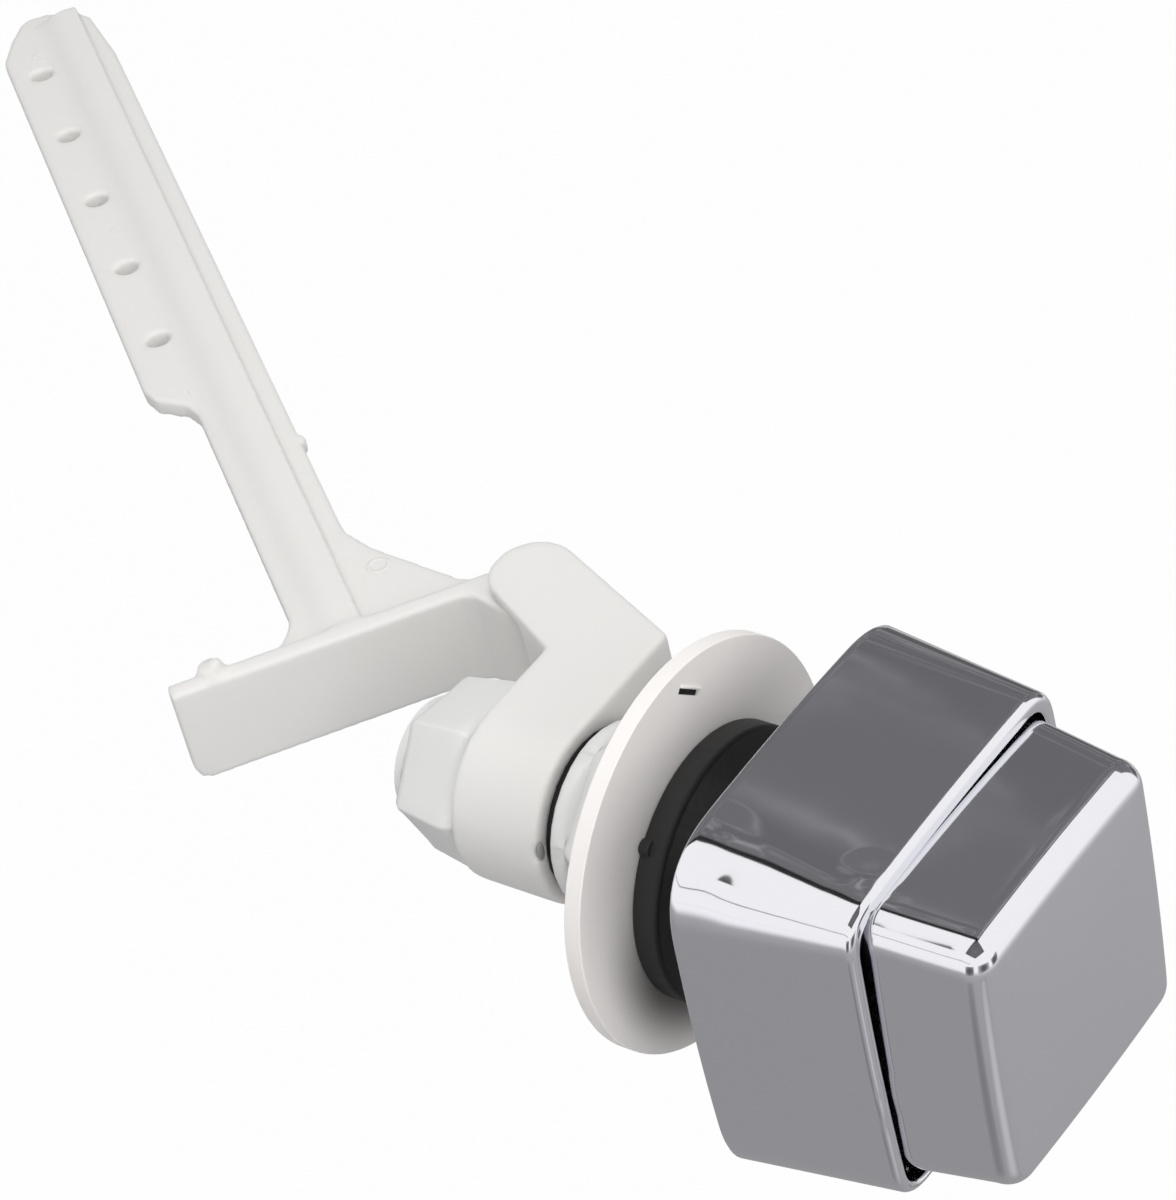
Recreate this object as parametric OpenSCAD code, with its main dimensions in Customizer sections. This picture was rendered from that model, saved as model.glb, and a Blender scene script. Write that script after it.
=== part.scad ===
// Front push button for a cistern, with its lock nut, elbow bracket and swinging lever.
// Origin: the barrel's axis, in the plane of the housing's rear edge that seats on the wall.
// +Y runs back into the cistern, +Z is up and +X is to the right as seen from the button.

/* [Housing] */
// Width of the square housing at its rear edge
housing_w = 39.2; // [38:0.2:46]
// Width of the housing at its front lip
housing_lip_w = 34.6; // [34:0.2:36]
// Depth of the housing from its rear edge to its lip
housing_depth = 16.8; // [16:0.2:24]
// Wall of the housing
housing_wall = 1.1; // [1:0.1:1.6]
// Thickness of the wall across the back of the housing
housing_back_t = 2.5; // [2:0.1:3]
// Depth of the recess behind that wall
housing_recess = 1; // [0.6:0.1:1.4]
// Radius of the long edges of the housing, at its rear
housing_edge_r = 7; // [5:0.1:8]
// Radius of the same edges at the lip
lip_edge_r = 3.6; // [3:0.1:4.4]
// Radius rolled over the front lip
lip_r = 0.9; // [0.5:0.1:1.1]
// How far the square housing and button sit below the barrel's axis
square_drop = 1.8; // [0:0.1:2]

/* [Button] */
// Width of the button's front face
button_w = 28.3; // [27:0.1:30]
// How far the button stands out of the lip at rest
button_proud = 11; // [9:0.1:12]
// Gap around the button at the lip
button_gap = 0.8; // [0.7:0.1:1]
// Length of the button's skirt inside the housing
button_skirt = 4.2; // [3:0.1:4.6]
// Wall of the button cap
button_wall = 1.6; // [1.2:0.1:2]
// Radius between the button's front face and its sides
button_edge_r = 2; // [1.6:0.1:2.6]
// Small turn that the button takes up in the play of its housing
button_turn = 1.6; // [0:0.1:1.8]
// Travel of the button
travel = 8; // [5:0.5:8]

/* [Button carrier and rod] */
// Thickness of the carrier plate behind the button's face
carrier_t = 3.2; // [2.6:0.1:3.6]
// Width of the carrier plate
carrier_w = 24; // [20:0.5:25]
// Radius of the carrier's boss
boss_r = 5.2; // [4.6:0.1:5.4]
// Length of the carrier's boss
boss_len = 6; // [5:0.1:6]
// Height of the ring that cups the spring
cup_h = 4; // [3:0.5:5]
// Radius of the rod's neck
rod_r = 2.5; // [2.2:0.1:2.7]
// Radius of the rod's head
head_r = 4.6; // [4.2:0.1:4.8]
// Radius of the sphere that rounds the rod's rear end
dome_r = 6; // [5.2:0.1:9]
// How far the rod's end stands out behind the barrel
head_proud = 2.5; // [1.5:0.1:5]

/* [Return spring] */
// Radius from the axis to the middle of the spring wire
spring_r = 6.6; // [6.2:0.1:7]
// Thickness of the spring wire
wire_d = 1; // [0.8:0.1:1.2]
// Number of turns
spring_turns = 5; // [4:1:6]

/* [Barrel, gasket, washer and lock nut] */
// Outer radius of the threaded barrel
barrel_r = 6; // [5.8:0.1:6.6]
// Width of the square flange on the barrel, inside the housing
flange_w = 22; // [20:0.5:23]
// Thickness of that flange
flange_t = 2; // [1.6:0.1:2.4]
// Free length of barrel between the housing and the gasket, where the wall goes
wall_gap = 8; // [5:0.5:20]
// Length of the bush inside the barrel's front end
bush_len = 17.5; // [14:0.5:20]
// Radius of the bush's flange
bush_flange_r = 8.4; // [7.8:0.1:8.8]
// Thickness of the bush's flange
bush_flange_t = 1.5; // [1.2:0.1:1.8]
// Radius of the rubber gasket
gasket_r = 13.1; // [12:0.1:16]
// Radius of the rubber gasket's hole
gasket_hole_r = 7.9; // [7:0.1:9]
// Thickness of the rubber gasket
gasket_t = 2.8; // [2:0.1:4]
// Radius of the flat washer
washer_r = 19.5; // [17:0.1:24]
// Thickness of the flat washer
washer_t = 1.7; // [1.2:0.1:3]
// Radius of the flat washer's hole
washer_hole_r = 6.9; // [6.5:0.1:8]
// Width of the lock nut across its flats
lock_nut_af = 19.4; // [18:0.2:24]
// Thickness of the lock nut
lock_nut_t = 8; // [5:0.5:10]
// Radius of the lock nut's collar
collar_r = 7.5; // [7:0.1:9]
// Length of the lock nut's collar, which bears on the bracket
collar_len = 3; // [2:0.5:5]

/* [Bracket] */
// Radius of the bracket's round eye
eye_r = 9.3; // [9:0.1:12]
// Thickness of the eye along the barrel
eye_t = 10; // [8:0.5:14]
// Lean of the bracket's arm from straight back
arm_lean = 27.5; // [24:0.5:30]
// Radius of the arm's rounded tip around the pivot
tip_r = 4.4; // [3.8:0.1:4.6]
// Distance from the button's axis to the pivot
pivot_x = 18.2; // [18:0.2:22]
// Distance from the eye's rear face to the pivot
pivot_back = 8; // [7:0.1:12]
// Thickness of each cheek of the arm's fork
cheek_t = 2; // [1.8:0.1:2.4]
// Width of the bracket nut across its flats
bracket_nut_af = 16; // [15.6:0.2:17.6]
// Thickness of the bracket nut
bracket_nut_t = 7.6; // [6:0.2:8]

/* [Lever] */
// Lean of the lever's arm from straight back
lever_lean = 37.5; // [36:0.5:42]
// Height of the lever's cross wall
lever_h = 10.8; // [9:0.2:11]
// Thickness of the cross wall
cross_t = 2.2; // [1.8:0.1:2.8]
// Length of the cross wall from the pivot
cross_len = 36.2; // [33:0.2:40]
// Distance from the pivot to the cross wall's front face
cross_offset = 2.6; // [2:0.1:3]
// Length of the lever's arm from the pivot
arm_len = 146; // [140:1:170]
// Distance from the pivot's line to the arm's near edge
arm_near = 14.2; // [13.4:0.1:15]
// Distance from the pivot's line to the narrow part's far edge
arm_mid = 22.8; // [22:0.1:23.6]
// Distance from the pivot's line to the wide part's far edge
arm_far = 27.1; // [26.6:0.1:29]
// Thickness of the arm's plate
plate_t = 2; // [1.6:0.1:2.4]
// Height of the rib above and below the plate
rib_h = 1.5; // [1:0.1:2]
// Width of the rib
rib_w = 3.4; // [2.4:0.1:4]
// Depth of the rib under the plate at the cross wall
keel_h = 4.6; // [3:0.1:5.6]
// Number of chain holes
hole_count = 5; // [3:1:6]
// Radius of a chain hole
hole_r = 1.25; // [1:0.05:1.6]
// Distance between chain holes
hole_pitch = 16.1; // [12:0.1:16.5]
// Radius of the pivot pin
pin_r = 2; // [1.6:0.1:2.2]
// Radius of the pivot pin's head
pin_head_r = 3.6; // [3:0.1:4]

/* [Fits] */
// Radial clearance of a moving fit
running = 0.08; // [0.05:0.01:0.1]
// Gap between fixed pieces
seat = 0.05; // [0.03:0.01:0.08]
// Gap above and below the lever inside its fork
fork_gap = 0.2; // [0.15:0.05:0.3]

/* [Hidden] */
$fn = 48;

// Thin slab used where a hull needs a flat disc
film = 0.02;

// Planes along the button's axis, front to rear
face_y = -housing_depth - button_proud;
lip_y = -housing_depth;
skirt_y = lip_y + button_skirt;
plate_front_y = face_y + button_wall + seat;
plate_rear_y = plate_front_y + carrier_t;
back_front_y = -housing_recess - housing_back_t;
flange_front_y = back_front_y - flange_t - seat;
bush_front_y = flange_front_y - bush_flange_t - seat;
bush_rear_y = flange_front_y + bush_len;
gasket_y = wall_gap;
washer_y = gasket_y + gasket_t;
lock_nut_y = washer_y + washer_t;
eye_y = lock_nut_y + lock_nut_t + collar_len;
eye_rear_y = eye_y + eye_t;
bracket_nut_y = eye_rear_y + seat;
barrel_end_y = bracket_nut_y + bracket_nut_t + 1.3;
rod_end_y = barrel_end_y + head_proud;
pivot_y = eye_rear_y + pivot_back;

// Half width of the button at the lip, and its draft per millimetre
button_half = button_w / 2;
lip_half = housing_lip_w / 2;
opening_half = lip_half - housing_wall;
lip_button_half = opening_half - button_gap;
draft = (lip_button_half - button_half) / button_proud;
skirt_half = lip_button_half + draft * button_skirt;
button_corner_r = 2.9;

// Bore of the barrel, which guides the rod's head and seats the bush
barrel_bore_r = head_r + running;
bush_r = barrel_bore_r - seat;

// Flange screws stand at the corners of a square
flange_screw_half = flange_w / 2 - 3;
screw_r = 1.2;
screw_head_r = 2.1;
screw_head_t = 1.4;
screw_len = 3.2;

// Carrier screw
carrier_screw_r = 1.2;
carrier_head_r = 2.6;
carrier_head_t = 1.6;
carrier_screw_len = 9;
socket_depth = 4;

// Spring seats
cup_r = spring_r + wire_d / 2 + 0.7;
cup_t = 1.2;
spring_front_y = plate_rear_y + wire_d / 2 + seat;
spring_rear_y = bush_front_y - wire_d / 2 - seat;

// Gasket and flat washer hang off centre by the play in their holes
gasket_drift = (gasket_hole_r - barrel_r - 0.1) * [0.1, -0.995];
washer_drift = (washer_hole_r - barrel_r - 0.1) * [-0.5, 0.4];

// Heights of the fork and the lever
fork_top_z = eye_r;
lever_top_z = fork_top_z - cheek_t - fork_gap;
lever_low_z = lever_top_z - lever_h;
fork_low_z = lever_low_z - fork_gap - cheek_t;
plate_top_z = lever_top_z - rib_h;
plate_low_z = plate_top_z - plate_t;

// Unit vectors along the bracket's arm and across it, outwards
arm_dir = [sin(arm_lean), cos(arm_lean)];
arm_out = [cos(arm_lean), -sin(arm_lean)];
pivot = [pivot_x, pivot_y];

// Places on the lever, along its arm and across it
rib_near = arm_near + 2.2;
rib_far = rib_near + rib_w;
wide_start = 57;
narrow_end = 48.5;
hole_across = (rib_far + arm_far) / 2;
hole_last = arm_len - 15.9;
cross_rear = cross_offset + cross_t;

// A profile drawn with X to the right and Z up, made solid from y towards the rear
module along_y(y) {
    translate([0, y, 0]) rotate([90, 0, 0]) mirror([0, 0, 1]) children();
}

module rod_y(y, len, r) {
    along_y(y) cylinder(h = len, r = r);
}

module hex_y(y, len, across_flats, turn) {
    along_y(y) rotate([0, 0, turn]) cylinder(h = len, r = across_flats / sqrt(3), $fn = 6);
}

// A square block with drafted sides, round long edges and a rolled front edge
module drafted_block(rear_y, rear_half, front_y, front_half, rear_r, front_r, roll_r) {
    translate([0, 0, -square_drop]) hull() for (sx = [-1, 1], sz = [-1, 1]) {
        translate([sx * (rear_half - rear_r), 0, sz * (rear_half - rear_r)])
            along_y(rear_y - film) cylinder(h = film, r = rear_r, $fn = 32);
        for (a = [0 : 18 : 90]) {
            r = front_r - roll_r * (1 - cos(a));
            translate([sx * (front_half - front_r), 0, sz * (front_half - front_r)])
                along_y(front_y + roll_r * (1 - sin(a))) cylinder(h = film, r = r, $fn = 32);
        }
    }
}

// Turns a piece about the centre line of the square button
module rotate_square(angle) {
    translate([0, 0, -square_drop]) rotate([0, angle, 0]) translate([0, 0, square_drop]) children();
}

module rounded_square(w, r) {
    square([w - 2 * r, w], center = true);
    square([w, w - 2 * r], center = true);
    for (sx = [-1, 1], sy = [-1, 1])
        translate([sx * (w / 2 - r), sy * (w / 2 - r)]) circle(r);
}

module button_cap() {
    inner_front_y = face_y + button_wall;
    inner_r = button_corner_r - button_wall;
    color("lightslategray") rotate_square(button_turn) difference() {
        drafted_block(
            skirt_y, skirt_half, face_y, button_half, button_corner_r, button_corner_r, button_edge_r
        );
        drafted_block(
            skirt_y + 1, skirt_half + draft - button_wall, inner_front_y,
            button_half + draft * button_wall - button_wall, inner_r, inner_r, 0.8
        );
    }
}

module button_carrier() {
    color("gainsboro") difference() {
        union() {
            rotate_square(button_turn) translate([0, 0, -square_drop])
                along_y(plate_front_y) linear_extrude(carrier_t) rounded_square(carrier_w, 2);
            rod_y(plate_rear_y, boss_len, boss_r);
            difference() {
                rod_y(plate_rear_y, cup_h, cup_r + cup_t);
                rod_y(plate_rear_y - 1, cup_h + 2, cup_r);
            }
        }
        rod_y(plate_rear_y + boss_len - socket_depth, socket_depth + 1, rod_r + seat);
        rod_y(plate_front_y - 1, carrier_t + boss_len + 2, carrier_screw_r + seat);
        rod_y(plate_front_y - 1, carrier_head_t + 1 + seat, carrier_head_r + seat);
    }
}

module carrier_screw() {
    color("silver") difference() {
        union() {
            rod_y(plate_front_y, carrier_head_t, carrier_head_r);
            rod_y(plate_front_y, carrier_head_t + carrier_screw_len, carrier_screw_r);
        }
        for (turn = [0, 90])
            rotate([0, turn, 0]) translate([-1.6, plate_front_y - 1, -0.35]) cube([3.2, 1.8, 0.7]);
    }
}

module push_rod() {
    front_y = plate_rear_y + boss_len - socket_depth + seat;
    shoulder_y = bush_rear_y + seat;
    dome_y = rod_end_y - dome_r;
    color("whitesmoke") difference() {
        union() {
            rod_y(front_y, shoulder_y - front_y, rod_r);
            rod_y(shoulder_y, dome_y - shoulder_y, head_r);
            intersection() {
                translate([0, dome_y, 0]) sphere(dome_r);
                rod_y(dome_y, dome_r + 1, head_r);
            }
        }
        rod_y(front_y - 1, carrier_screw_len, carrier_screw_r + seat);
    }
}

// Centre of the spring wire at a turn counted from the front, with ground flat end turns
function coil_y(n) =
    let (t = n / spring_turns, eased = t * t * (3 - 2 * t))
    spring_front_y + (spring_rear_y - spring_front_y) * (0.4 * eased + 0.6 * t);

function coil_ring(n, sides) = [
    for (k = [0 : sides - 1])
        let (
            r = spring_r + wire_d / 2 * cos(360 * k / sides),
            y = coil_y(n) + wire_d / 2 * sin(360 * k / sides)
        )
        [r * cos(360 * n), y, r * sin(360 * n)]
];

module return_spring() {
    sides = 8;
    steps = 14 * spring_turns;
    points = [for (i = [0 : steps]) each coil_ring(i / 14, sides)];
    skin = [
        for (i = [0 : steps - 1], k = [0 : sides - 1])
            let (a = i * sides + k, b = i * sides + (k + 1) % sides)
            each [[a, b, b + sides], [a, b + sides, a + sides]]
    ];
    ends = [
        [for (k = [sides - 1 : -1 : 0]) k],
        [for (k = [0 : sides - 1]) steps * sides + k]
    ];
    color("darkgray") polyhedron(points = points, faces = concat(skin, ends));
}

module rod_bush() {
    color("ivory") difference() {
        union() {
            rod_y(bush_front_y, bush_flange_t, bush_flange_r);
            rod_y(bush_front_y, bush_rear_y - bush_front_y, bush_r);
        }
        rod_y(bush_front_y - 1, bush_rear_y - bush_front_y + 2, rod_r + running);
    }
}

module flange_screw_places() {
    for (sx = [-1, 1], sz = [-1, 1])
        translate([sx * flange_screw_half, 0, sz * flange_screw_half]) children();
}

module housing() {
    inner_rear_half = housing_w / 2 - housing_wall - 0.4;
    color("slategray") difference() {
        drafted_block(0, housing_w / 2, lip_y, lip_half, housing_edge_r, lip_edge_r, lip_r);
        drafted_block(
            back_front_y, inner_rear_half, lip_y - 1, opening_half,
            housing_edge_r - housing_wall, lip_edge_r - housing_wall, 0.1
        );
        translate([0, 0, -square_drop]) along_y(-housing_recess)
            linear_extrude(housing_recess + 1)
                rounded_square(2 * inner_rear_half - 2, housing_edge_r - housing_wall);
        rod_y(back_front_y - 1, housing_back_t + 2, barrel_r + seat);
        flange_screw_places() rod_y(back_front_y - 1, 1 + screw_len - flange_t, screw_r);
    }
}

module threaded_barrel() {
    color("gray") difference() {
        union() {
            along_y(flange_front_y) linear_extrude(flange_t) rounded_square(flange_w, 2);
            rod_y(flange_front_y, barrel_end_y - flange_front_y, barrel_r);
        }
        rod_y(flange_front_y - 1, barrel_end_y - flange_front_y + 2, barrel_bore_r);
        flange_screw_places() rod_y(flange_front_y - 1, flange_t + 2, screw_r + seat);
    }
}

module flange_screw(sx, sz) {
    head_y = flange_front_y - screw_head_t;
    color("silver") translate([sx * flange_screw_half, 0, sz * flange_screw_half]) difference() {
        union() {
            rod_y(head_y, screw_head_t, screw_head_r);
            rod_y(head_y, screw_head_t + screw_len, screw_r - seat);
        }
        translate([-screw_head_r - 1, head_y - 1, -0.3]) cube([2 * screw_head_r + 2, 1.7, 0.6]);
    }
}

module gasket() {
    edge_r = 0.4;
    nib_turn = 134;
    color("black") translate([gasket_drift.x, 0, gasket_drift.y]) union() {
        along_y(gasket_y) rotate_extrude($fn = 96) union() {
            translate([gasket_hole_r, edge_r])
                square([gasket_r - gasket_hole_r, gasket_t - 2 * edge_r]);
            translate([gasket_hole_r, 0]) square([gasket_r - edge_r - gasket_hole_r, gasket_t]);
            for (z = [edge_r, gasket_t - edge_r]) translate([gasket_r - edge_r, z]) circle(edge_r);
        }
        // Moulding nib on the rear edge
        along_y(washer_y - 1.1) rotate([0, 0, nib_turn])
            translate([gasket_r - 0.3, 0]) cylinder(h = 1, r = 0.8);
    }
}

module flat_washer() {
    nick = [2.2, 16.4];
    nick_turn = -41;
    color("linen") translate([washer_drift.x, 0, washer_drift.y]) difference() {
        union() {
            rod_y(washer_y, washer_t, washer_r, $fn = 96);
            along_y(washer_y - 0.25) translate(nick) rotate([0, 0, nick_turn])
                translate([-1.6, 0.3]) cube([3.2, 0.3, 1]);
        }
        rod_y(washer_y - 1, washer_t + 2, washer_hole_r);
        along_y(washer_y - 1) translate(nick) rotate([0, 0, nick_turn])
            translate([-1.6, -0.3]) cube([3.2, 0.6, 1.6]);
    }
}

module lock_nut() {
    turn = 40;
    tip_radius = lock_nut_af / sqrt(3);
    bevel = 1;
    color("lightgray") difference() {
        union() {
            intersection() {
                hex_y(lock_nut_y, lock_nut_t, lock_nut_af, turn);
                along_y(lock_nut_y) cylinder(
                    h = lock_nut_t, r1 = tip_radius + lock_nut_t - bevel, r2 = tip_radius - bevel
                );
            }
            rod_y(lock_nut_y, lock_nut_t + collar_len - seat, collar_r);
        }
        rod_y(lock_nut_y - 1, lock_nut_t + collar_len + 2, barrel_r + seat);
    }
}

// Outline of the bracket seen from above: neck, leaning arm and round tip
module bracket_plan() {
    outer = pivot + tip_r * arm_out;
    inner = pivot - tip_r * arm_out;
    // The arm grows a little wider towards its root
    outer_front_x = outer.x - (outer.y - eye_y) * tan(arm_lean) + 1.2;
    inner_rear_x = inner.x - (inner.y - eye_rear_y) * tan(arm_lean);
    polygon([
        [0, eye_y], [outer_front_x, eye_y], outer, inner, [inner_rear_x, eye_rear_y], [0, eye_rear_y]
    ]);
    translate(pivot) circle(tip_r);
}

module bracket() {
    slot_low_z = fork_low_z + cheek_t;
    slot_h = lever_h + 2 * fork_gap;
    root_back = tip_r + 0.6;
    dimple = [-8.3, 1.8];
    color("whitesmoke") difference() {
        union() {
            rod_y(eye_y, eye_t, eye_r, $fn = 96);
            translate([0, 0, fork_low_z]) linear_extrude(fork_top_z - fork_low_z) bracket_plan();
        }
        // Slot of the fork, which is open at the tip and on both sides
        translate([pivot.x, pivot.y, slot_low_z]) rotate([0, 0, 90 - arm_lean])
            translate([-root_back, -15, 0]) cube([30, 30, slot_h]);
        rod_y(eye_y - 1, eye_t + 2, barrel_r + seat);
        translate([pivot.x, pivot.y, fork_low_z - 1]) cylinder(h = cheek_t + 2, r = pin_r + seat);
        translate([pivot.x, pivot.y, fork_top_z - cheek_t - 1])
            cylinder(h = cheek_t + 0.3, r = pin_r + seat);
        // Room for the bracket nut at the arm's root
        rod_y(eye_rear_y, bracket_nut_t + 1, bracket_nut_af / sqrt(3) + 0.3);
        // Ejector mark on the front face
        translate([dimple.x, eye_y - 0.3, dimple.y]) sphere(0.9);
    }
}

module bracket_nut() {
    turn = 55;
    tip_radius = bracket_nut_af / sqrt(3);
    bevel = 1.6;
    color("gainsboro") difference() {
        intersection() {
            hex_y(bracket_nut_y, bracket_nut_t, bracket_nut_af, turn);
            along_y(bracket_nut_y) cylinder(
                h = bracket_nut_t, r1 = tip_radius + bracket_nut_t - bevel, r2 = tip_radius - bevel
            );
        }
        rod_y(bracket_nut_y - 1, bracket_nut_t + 2, barrel_r + seat);
    }
}

// Frame of the lever: X along its arm, Y along its cross wall, origin on the pivot
module lever_frame() {
    translate([pivot.x, pivot.y, 0]) rotate([0, 0, 90 - lever_lean]) children();
}

// A round inner corner that opens towards a quarter, for the arm's root
module inner_fillet(r) {
    difference() {
        square(r);
        translate([r, r]) circle(r);
    }
}

module arm_plan() {
    // The main strip with its chamfered tip
    polygon([
        [cross_offset + 0.5, arm_near], [arm_len - 17, arm_near], [arm_len - 4, rib_near - 0.4],
        [arm_len, rib_near + 0.6], [arm_len, rib_far + 2.6], [arm_len - 4.6, arm_far - 1.8],
        [arm_len - 9, arm_far], [wide_start, arm_far], [wide_start - 2.4, arm_far - 0.7],
        [narrow_end + 1.8, arm_mid + 0.8], [narrow_end - 0.6, arm_mid], [cross_offset + 0.5, arm_mid]
    ]);
    translate([cross_rear - 0.1, arm_mid - 0.1]) inner_fillet(7);
    // The gusset that widens the arm's root towards the pivot
    difference() {
        polygon([
            [cross_offset + 0.5, 3.6], [cross_rear + 1, 3.6], [cross_rear + 2.6, 6], [17, 12.4],
            [21, arm_near], [26, arm_near + 0.1], [26, arm_near + 1], [cross_offset + 0.5, arm_near + 1]
        ]);
        translate([26, arm_near - 8]) circle(8);
    }
}

module knuckle_plan() {
    circle(tip_r);
    polygon([
        [-1.5, 4.1], [cross_offset - 0.6, 5.8], [cross_offset, 7], [cross_rear, 8], [cross_rear, 3.4],
        [3.2, -3]
    ]);
}

module lever() {
    color("whitesmoke") lever_frame() difference() {
        union() {
            translate([0, 0, plate_low_z]) linear_extrude(plate_t) arm_plan();
            // Rib along the top, level with the cross wall, and keel under the plate
            translate([cross_offset + 0.5, rib_near, plate_low_z])
                cube([arm_len - cross_offset - 1.1, rib_w, lever_top_z - plate_low_z]);
            translate([0, rib_far, 0]) rotate([90, 0, 0]) linear_extrude(rib_w) polygon([
                [cross_offset + 0.5, plate_low_z - keel_h], [wide_start, plate_low_z - keel_h * 0.6],
                [arm_len - 6, plate_low_z - 1], [arm_len - 6, plate_low_z + 0.5],
                [cross_offset + 0.5, plate_low_z + 0.5]
            ]);
            cross_wall();
            translate([0, 0, lever_low_z]) linear_extrude(lever_h) knuckle_plan();
            // Nub on the cross wall's rear edge and gate mark on the arm's near edge
            translate([cross_rear - 0.3, cross_len - 4.5, lever_low_z + 2])
                cylinder(h = lever_h - 1.5, r = 1.4);
            translate([39, arm_near + 0.3, plate_low_z]) cylinder(h = plate_t, r = 1);
        }
        for (i = [0 : hole_count - 1])
            translate([hole_last - i * hole_pitch, hole_across, plate_low_z - 1])
                cylinder(h = plate_t + 2, r = hole_r);
        translate([0, 0, lever_low_z - 1]) cylinder(h = lever_h + 2, r = pin_r + running);
    }
}

// The strip that the rod pushes, with its lower free corner rounded
module cross_wall() {
    corner_r = 1.5;
    start = 3.4;
    translate([cross_rear, 0, lever_low_z]) rotate([0, -90, 0]) linear_extrude(cross_t) union() {
        translate([0, start]) square([lever_h, cross_len - start - corner_r]);
        translate([corner_r, start]) square([lever_h - corner_r, cross_len - start]);
        translate([corner_r, cross_len - corner_r]) circle(corner_r);
    }
}

module pivot_pin() {
    head_t = 1.6;
    head_top_z = fork_low_z - seat;
    color("silver") translate([pivot.x, pivot.y, 0]) difference() {
        union() {
            translate([0, 0, head_top_z - head_t]) cylinder(h = head_t, r = pin_head_r);
            translate([0, 0, head_top_z - head_t])
                cylinder(h = head_t + fork_top_z - 0.8 - head_top_z, r = pin_r);
        }
        translate([-pin_head_r - 1, -0.4, head_top_z - head_t - 1]) cube([2 * pin_head_r + 2, 0.8, 1.8]);
    }
}

button_cap();
button_carrier();
carrier_screw();
push_rod();
return_spring();
rod_bush();
housing();
threaded_barrel();
flange_screw(-1, -1);  // flange_screw_1
flange_screw(1, -1);  // flange_screw_2
flange_screw(-1, 1);  // flange_screw_3
flange_screw(1, 1);  // flange_screw_4
gasket();
flat_washer();
lock_nut();
bracket();
bracket_nut();
lever();
pivot_pin();
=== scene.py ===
# %% [markdown]
# This file dresses a cistern push button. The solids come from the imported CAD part, and
# each step below adds the shape or finish that the solids are too plain to carry.
# Everything is in the part's own frame: +Y runs back into the cistern, +Z is up and the
# origin lies on the barrel's axis. Shapes are written in millimetres, and MM turns them
# into the metres that Blender works in.

# %% Load the solids
import math

import bpy
import bmesh
from mathutils import Matrix, Vector
from mathutils.geometry import tessellate_polygon


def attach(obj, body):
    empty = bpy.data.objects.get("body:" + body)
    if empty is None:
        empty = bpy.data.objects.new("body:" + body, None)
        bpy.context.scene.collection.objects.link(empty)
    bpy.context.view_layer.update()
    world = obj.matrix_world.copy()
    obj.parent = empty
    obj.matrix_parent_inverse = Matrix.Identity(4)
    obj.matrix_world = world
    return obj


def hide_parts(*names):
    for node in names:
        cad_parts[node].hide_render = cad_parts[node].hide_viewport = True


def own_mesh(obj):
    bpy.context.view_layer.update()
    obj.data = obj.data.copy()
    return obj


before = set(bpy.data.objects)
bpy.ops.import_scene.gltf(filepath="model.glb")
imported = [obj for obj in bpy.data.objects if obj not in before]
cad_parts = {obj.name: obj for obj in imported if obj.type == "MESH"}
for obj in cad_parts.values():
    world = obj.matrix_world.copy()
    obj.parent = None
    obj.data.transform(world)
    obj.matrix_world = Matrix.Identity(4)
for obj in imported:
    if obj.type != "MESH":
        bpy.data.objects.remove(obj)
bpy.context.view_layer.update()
MM = 0.001
print("solids:", len(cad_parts))

# %% [markdown]
# The camera stands where the photographer stood: to the left of the button, in front of it
# and above. The position came from a fit of the square housing and the round washers, and a
# long lens keeps the perspective as weak as in the picture.

# %% Camera
CAMERA_AT = Vector((-199.72, -169.92, 237.62)) * MM
CAMERA_RIGHT = Vector((0.5575, -0.8076, -0.1922))
CAMERA_BACK = Vector((-0.5768, -0.5433, 0.61))
LENS, SENSOR = 119.8, 36


def placed(name, data):
    """A new object in the scene that shows the given data."""
    thing = bpy.data.objects.new(name, data)
    bpy.context.scene.collection.objects.link(thing)
    return thing


camera = placed("camera", bpy.data.cameras.new("camera"))
back = CAMERA_BACK.normalized()
right = (CAMERA_RIGHT - back * CAMERA_RIGHT.dot(back)).normalized()
axes = Matrix((right, back.cross(right), back)).transposed().to_4x4()
camera.matrix_world = Matrix.Translation(CAMERA_AT) @ axes
camera.data.lens = LENS
camera.data.sensor_width = SENSOR
camera.data.clip_start = 10 * MM
bpy.context.scene.camera = camera
bpy.context.scene.view_settings.view_transform = "Standard"
print("camera stands", round(CAMERA_AT.length / MM), "mm from the origin")

# %% [markdown]
# Every finish here is a small graph of shader nodes. A few helpers keep the graphs short:
# add_node makes a node and wires its inputs in one go, and the others stand for the nodes
# that come back again and again. Each gives back the output to wire on.

# %% Helpers for node materials
def node_tree(owner):
    owner.use_nodes = True
    owner.node_tree.nodes.clear()
    return owner.node_tree


def add_node(tree, kind, inputs, **settings):
    node = tree.nodes.new(kind)
    for name, value in settings.items():
        setattr(node, name, value)
    for name, value in inputs.items():
        if isinstance(value, bpy.types.NodeSocket):
            tree.links.new(value, node.inputs[name])
        else:
            node.inputs[name].default_value = value
    return node


def new_material(name):
    material = bpy.data.materials.new(name)
    return material, node_tree(material)


def show(tree, shader):
    add_node(tree, "ShaderNodeOutputMaterial", {"Surface": shader.outputs[0]})


def maths(tree, operation, a, b):
    return add_node(tree, "ShaderNodeMath", {0: a, 1: b}, operation=operation).outputs[0]


def ranged(tree, value, source, target, smooth=False):
    """Maps a value from one span onto another and keeps it inside that."""
    spans = {"Value": value, "From Min": source[0], "From Max": source[1],
             "To Min": target[0], "To Max": target[1]}
    kind = "SMOOTHSTEP" if smooth else "LINEAR"
    return add_node(tree, "ShaderNodeMapRange", spans, interpolation_type=kind).outputs[0]


def noise(tree, place, scale, detail=2.0, roughness=0.5, distortion=0.0):
    inputs = {"Vector": place, "Scale": scale, "Detail": detail, "Roughness": roughness,
              "Distortion": distortion}
    return add_node(tree, "ShaderNodeTexNoise", inputs).outputs["Fac"]


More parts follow.
